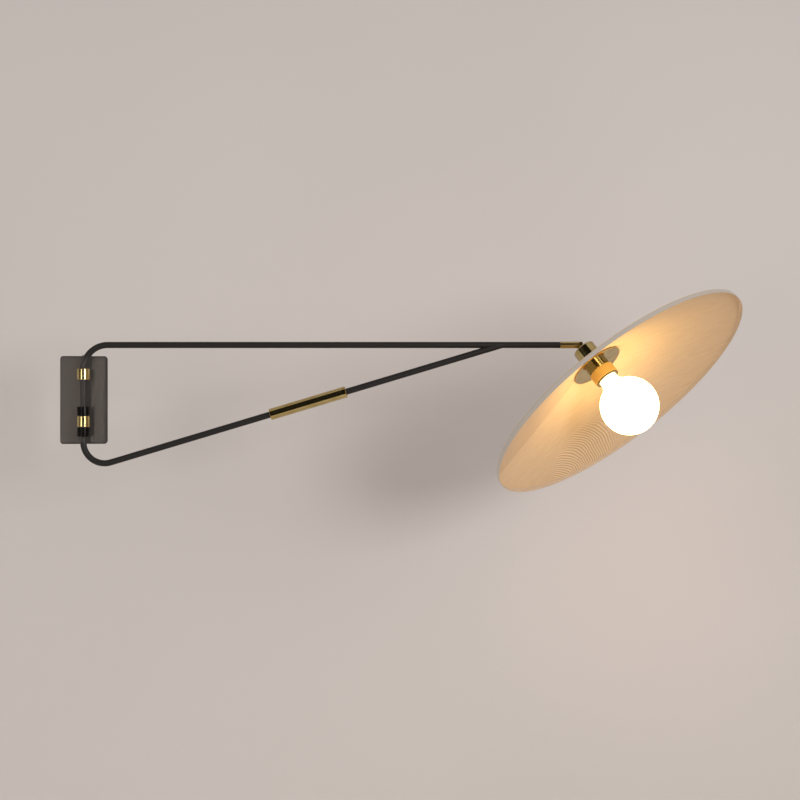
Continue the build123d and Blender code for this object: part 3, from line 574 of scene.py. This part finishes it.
class LAMP_OT_shade(bpy.types.Operator):
    """Rolls the shade's card into a cone whose ends lap along a radial line"""

    bl_idname = "lamp.shade"
    bl_label = "Shade card"

    def execute(self, context):
        sizes = context.scene.lamp_sizes
        clear_selection()
        bpy.ops.mesh.primitive_plane_add(size=1)
        piece = begin("shade_cone")
        pick(piece, lambda place: place.y > 0)
        bpy.ops.mesh.delete(type="VERT")
        bpy.ops.object.mode_set(mode="OBJECT")
        for end, radius in zip(piece.data.vertices, (sizes.sheet_hole, sizes.sheet_edge)):
            end.co = (radius, 0, sizes.sheet_edge_height - (sizes.sheet_edge - radius) * tan(CONE_SLOPE))
        bpy.ops.object.mode_set(mode="EDIT")
        bpy.ops.mesh.select_all(action="SELECT")
        bpy.ops.mesh.subdivide(number_cuts=40)
        bpy.ops.mesh.select_all(action="SELECT")
        bpy.ops.mesh.spin(steps=360, angle=2 * pi - ROLL_GAP, center=(0, 0, 0), axis=(0, 0, 1))
        bpy.ops.object.mode_set(mode="OBJECT")
        self.lap(piece.data, sizes)
        apply_modifier(piece, "SOLIDIFY", thickness=sizes.sheet_thickness, offset=1)
        set_down(piece, HEAD, "head", "shade_card", "shade_sheet")
        return {"FINISHED"}

    def lap(self, mesh, sizes):
        """Spreads the rolled card so that its last end lies inside its first, by the width of the lap.

        The UV map holds the card as it lies before it is rolled.
        """
        half = sizes.lap_width / 2
        layer = mesh.uv_layers.new(name="Flat")
        flat = {}
        for vertex in mesh.vertices:
            radius = hypot(vertex.co.x, vertex.co.y)
            share = (atan2(vertex.co.y, vertex.co.x) % (2 * pi)) / (2 * pi - ROLL_GAP)
            if share > 1:
                share = 0
            spread = asin(min(1, half / radius))
            angle = LAP_PLACE - spread + share * (2 * pi + 2 * spread)
            past = sizes.lap_width + LAP_RAMP - (1 - share) * 2 * pi * radius
            lift = max(0, min(1, past / LAP_RAMP)) if radius > sizes.disc_radius + half else 0
            lift = lift * lift * (3 - 2 * lift) * (sizes.sheet_thickness + LAP_CLEARANCE)
            vertex.co = (radius * cos(angle), radius * sin(angle), vertex.co.z + lift)
            unrolled = share * 2 * pi * cos(CONE_SLOPE)
            slant = radius / cos(CONE_SLOPE)
            flat[vertex.index] = (slant * cos(unrolled), slant * sin(unrolled))
        for loop in mesh.loops:
            layer.data[loop.index].uv = flat[loop.vertex_index]


class LAMP_OT_rim(bpy.types.Operator):
    """Rolls the flat hoop that keeps the shade's edge round"""

    bl_idname = "lamp.rim"
    bl_label = "Rim hoop"

    def execute(self, context):
        sizes = context.scene.lamp_sizes
        clear_selection()
        bpy.ops.mesh.primitive_circle_add(
            vertices=360, radius=sizes.hoop_radius, location=(0, 0, sizes.sheet_edge_height)
        )
        piece = begin("rim_band")
        pull(0, 0, sizes.hoop_height)
        close_up()
        apply_modifier(piece, "SOLIDIFY", thickness=sizes.hoop_thickness, offset=-1)
        apply_modifier(piece, "BEVEL", width=0.0003, segments=2, limit_method="ANGLE", angle_limit=radians(50))
        set_down(piece, HEAD, "head", "shade_hoop", "rim_hoop")
        return {"FINISHED"}


class LAMP_OT_stage(bpy.types.Operator):
    """Sets up the backdrop, the lights, the flags, the room and the camera"""

    bl_idname = "lamp.stage"
    bl_label = "Stage"

    def execute(self, context):
        scene = context.scene
        self.backdrop(scene)
        self.lights(scene)
        self.flags()
        self.room(scene)
        camera = bpy.data.objects.new("camera", bpy.data.cameras.new("camera"))
        scene.collection.objects.link(camera)
        camera.location = CAMERA_PLACE
        camera.rotation_euler = (pi / 2, 0, CAMERA_YAW)
        camera.data.lens = SENSOR_MM * FOCAL_PIXELS / FRAME_PIXELS
        camera.data.sensor_width = SENSOR_MM
        scene.camera = camera
        scene.view_settings.view_transform = "Standard"
        return {"FINISHED"}

    def backdrop(self, scene):
        """A painted wall behind the lamp that runs down into a floor in one sweep, seen from the front only."""
        back, front, side = scene.lamp_sizes.wall_setback, -1.6, 5
        floor, top, sweep = -1.2, 3.0, 0.3
        clear_selection()
        bpy.ops.mesh.primitive_plane_add(size=1, location=(0, 0, 0))
        piece = begin("backdrop")
        bpy.ops.object.mode_set(mode="OBJECT")
        corners = [(x, y, floor) for y in (front, back) for x in (-side, side)]
        for corner, point in zip(piece.data.vertices, corners):
            corner.co = point
        pick(piece, lambda place: place.y > 0)
        pull(0, 0, top - floor)
        pick(piece, lambda place: place.y > 0 and place.z < 0)
        bpy.ops.mesh.bevel(offset=sweep, segments=12)
        bpy.ops.mesh.select_all(action="SELECT")
        bpy.ops.mesh.normals_make_consistent(inside=False)
        bpy.ops.object.mode_set(mode="OBJECT")
        # Its clear back has to be away from the lamp
        if max(piece.data.polygons, key=lambda face: face.area).normal @ Vector((0, -1, 1)) < 0:
            piece.data.flip_normals()
        bpy.ops.object.shade_smooth()
        piece.data.materials.append(wall_paint("matt wall paint", scene.lamp_colours.wall))

    def lights(self, scene):
        """Three soft boxes, a narrow lamp on the wall cover and one beside it, and the bulb's spill on the wall.

        Only the soft boxes show in polished metal.
        """
        soft_box = 180
        # Name, place, what it is aimed at, width, height, watts, spread in degrees, colour
        for name, place, aim, width, height, power, spread, code in (
            ("key", (1.32, -2.55, 0.29), (0.6, 0.1, 0), 0.7, 0.7, 24, soft_box, "#ffffff"),
            ("left", (-1.25, -1.8, 0.25), (0, 0, 0), 0.9, 1.2, 8.2, soft_box, "#ffffff"),
            ("right", (2.4, -2.0, 0.8), (0.5, 0.1, 0), 0.8, 1.2, 6.5, soft_box, "#ffffff"),
            ("cover", (-0.0734, -0.3136, 0), (-0.003, -0.022, 0), 0.072, 0.136, 0.056, 1, "#ffffff"),
            ("beside", (-0.6, -1.1, 0), (-0.168, 0.3, -0.037), 0.08, 0.15, 0.0045, 4, "#ffffff"),
            ("spill", (1.2, -1.3, -0.8), (1.07, 0.3, -0.31), 0.3, 0.3, 0.038, 24, "#ff9f80"),
        ):
            light = bpy.data.lights.new(name, "AREA")
            light.shape, light.size, light.size_y, light.energy = "RECTANGLE", width, height, power
            light.spread, light.color = radians(spread), linear(code)[:3]
            lamp = bpy.data.objects.new(name, light)
            lamp.location = place
            lamp.rotation_euler = (Vector(aim) - Vector(place)).to_track_quat("-Z", "Y").to_euler()
            lamp.visible_camera = False
            lamp.visible_glossy = spread == soft_box
            scene.collection.objects.link(lamp)

    def flags(self):
        """Black cloths that only polished metal sees, so that it has dark bands, as in a studio."""
        cloth = black_cloth("black cloth")
        # Name, place, what it faces, width and height, and how far it is turned in its own plane, in degrees
        for name, place, aim, extent, roll in (
            ("flag_behind_camera", (-0.2, -4.6, -1.35), (-0.2, 0, -1.35), (2.6, 3.7), 0),
            ("flag_over_camera", (-0.9, -4.6, 2.4), (-0.9, 0, 2.4), (3.4, 3.8), 0),
            ("flag_above", (-0.62, -1.43, 1.25), TILT_SCREW, (4.4, 1.5), 45),
            ("flag_right", (2.1, -1.2, 0.1), PIVOT, (0.5, 1.4), 0),
        ):
            clear_selection()
            bpy.ops.mesh.primitive_grid_add(x_subdivisions=8, y_subdivisions=4, size=1)
            piece = bpy.context.object
            piece.name = name
            facing = (Vector(aim) - Vector(place)).to_track_quat("-Z", "Y").to_matrix().to_4x4()
            piece.matrix_world = (Matrix.Translation(place) @ facing @ Matrix.Rotation(radians(roll), 4, "Z")
                                  @ Matrix.Diagonal((*extent, 1, 1)))
            piece.data.materials.append(cloth)
            piece.visible_camera = piece.visible_diffuse = piece.visible_shadow = False

    def room(self, scene):
        """A pale room lit from above. The camera, polished metal and clear glass see the wall's plain colour."""
        world = bpy.data.worlds.new("pale room")
        scene.world = world
        world.use_nodes = True
        tree = world.node_tree
        lit = tree.nodes["Background"]
        lit.inputs["Color"].default_value = linear("#f4f2f0")
        direction = add_node(tree, "ShaderNodeTexCoord", out="Generated")
        upward = add_node(tree, "ShaderNodeSeparateXYZ", {"Vector": direction}, out="Z")
        add_node(tree, "ShaderNodeMapRange", {
            "Value": upward, "From Min": -1.0, "From Max": 1.0, "To Min": 0.08, "To Max": 0.95,
        }, to=lit.inputs["Strength"])
        seen = add_node(tree, "ShaderNodeBackground", {"Color": scene.lamp_colours.wall, "Strength": 1.0})
        rays = add_node(tree, "ShaderNodeLightPath").node.outputs
        direct = rays["Is Camera Ray"]
        for kind in ("Is Glossy Ray", "Is Transmission Ray"):
            direct = add_node(tree, "ShaderNodeMath", {0: direct, 1: rays[kind]}, operation="MAXIMUM")
        add_node(tree, "ShaderNodeMixShader", {0: direct, 1: lit.outputs["Background"], 2: seen},
                 to=tree.nodes["World Output"].inputs["Surface"])


class LAMP_PT_panel(bpy.types.Panel):
    """Lists the lamp's pieces, sizes and colours"""

    bl_idname = "LAMP_PT_panel"
    bl_label = "Wall lamp"
    bl_space_type = "VIEW_3D"
    bl_region_type = "UI"
    bl_category = "Wall lamp"

    def draw(self, context):
        for operator in OPERATORS:
            self.layout.operator(operator.bl_idname)
        for group in (context.scene.lamp_sizes, context.scene.lamp_colours):
            for name in group.__annotations__:
                self.layout.prop(group, name)


OPERATORS = (LAMP_OT_finishes, LAMP_OT_frame_tube, LAMP_OT_shade, LAMP_OT_rim, LAMP_OT_stage)
CLASSES = (LampSizes, LampColours, *OPERATORS, LAMP_PT_panel)


def register():
    """Registers the classes and the scene's settings."""
    for entry in CLASSES:
        bpy.utils.register_class(entry)
    bpy.types.Scene.lamp_sizes = bpy.props.PointerProperty(type=LampSizes)
    bpy.types.Scene.lamp_colours = bpy.props.PointerProperty(type=LampColours)


def unregister():
    """Takes the classes and the scene's settings out again."""
    del bpy.types.Scene.lamp_sizes
    del bpy.types.Scene.lamp_colours
    for entry in reversed(CLASSES):
        bpy.utils.unregister_class(entry)


def main():
    """Builds everything in order."""
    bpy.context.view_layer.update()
    register()
    bpy.ops.lamp.finishes()
    bpy.ops.lamp.frame_tube()
    bpy.ops.lamp.shade()
    bpy.ops.lamp.rim()
    bpy.ops.lamp.stage()
    clear_selection()


if __name__ == "__main__":
    main()
